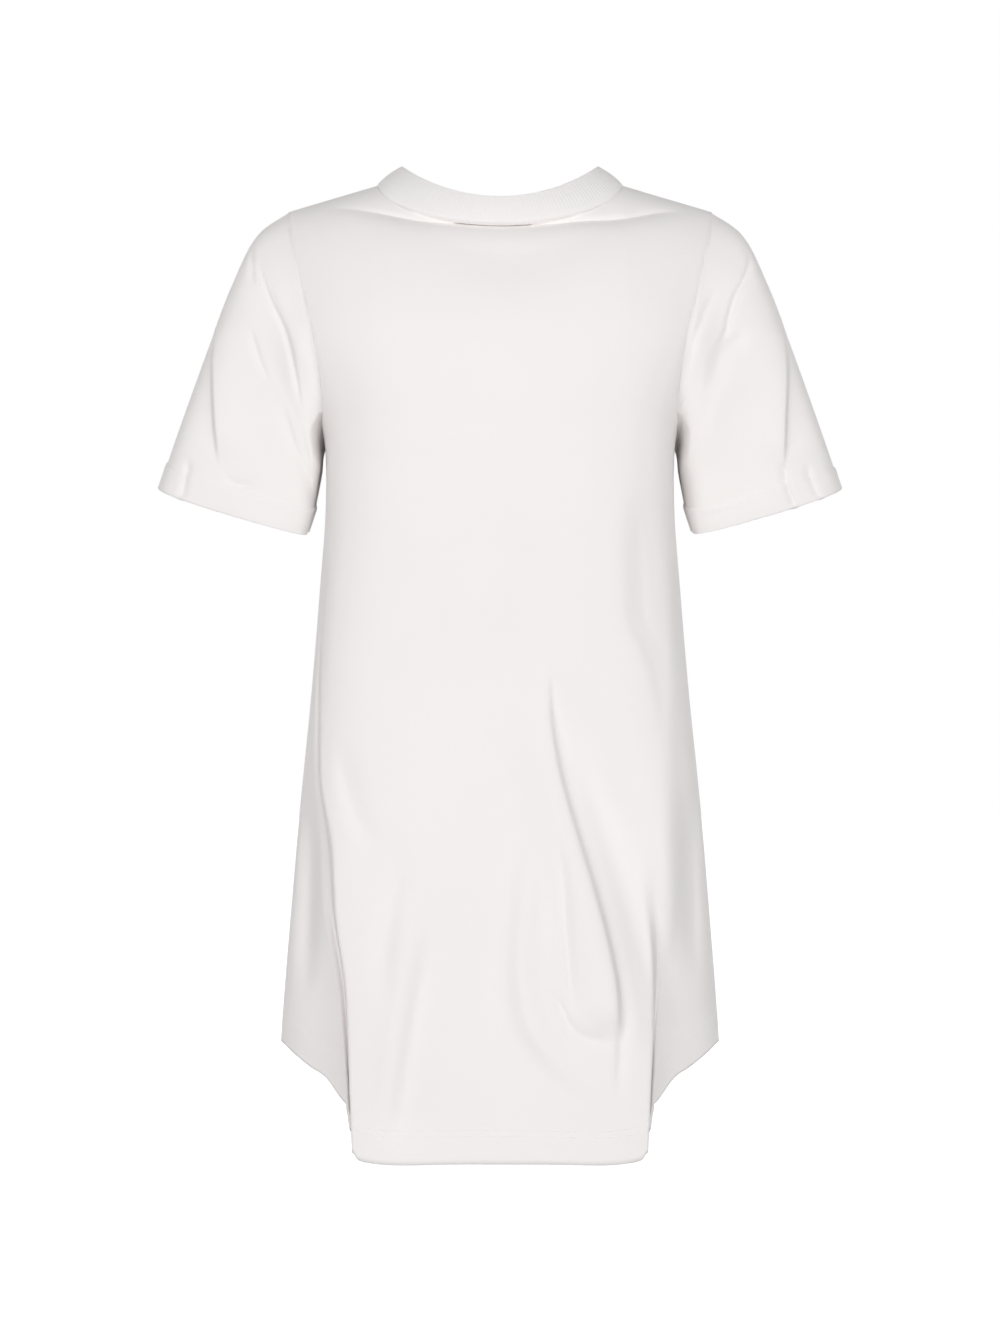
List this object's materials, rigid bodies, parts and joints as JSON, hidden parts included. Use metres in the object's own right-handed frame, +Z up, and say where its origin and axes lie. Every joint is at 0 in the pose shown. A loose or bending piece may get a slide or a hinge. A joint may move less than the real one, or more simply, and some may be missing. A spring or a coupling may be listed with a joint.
{
  "type": "t-shirt dress",
  "caption": "Worn-form jersey t-shirt dress with short set-in sleeves, a round rib neck, a high front hem and a long pleated tail at the back, as hollow cloth walls.",
  "frame": {"origin": "midpoint between the two high points of the shoulders, where a wearer's shoulders and neck hold the dress", "axes": "+Z up, +Y towards the back of the wearer, +X towards the wearer's left"},
  "size_m": [0.612, 0.2623, 0.887],
  "materials": {
    "jersey": "matt",
    "rib_knit": "matt"
  },
  "bodies": {
    "root": {"back_panel": "jersey", "front_panel": "jersey", "sleeve_left": "jersey", "sleeve_right": "jersey", "neck_rib": "rib_knit"}
  },
  "joints": []
}
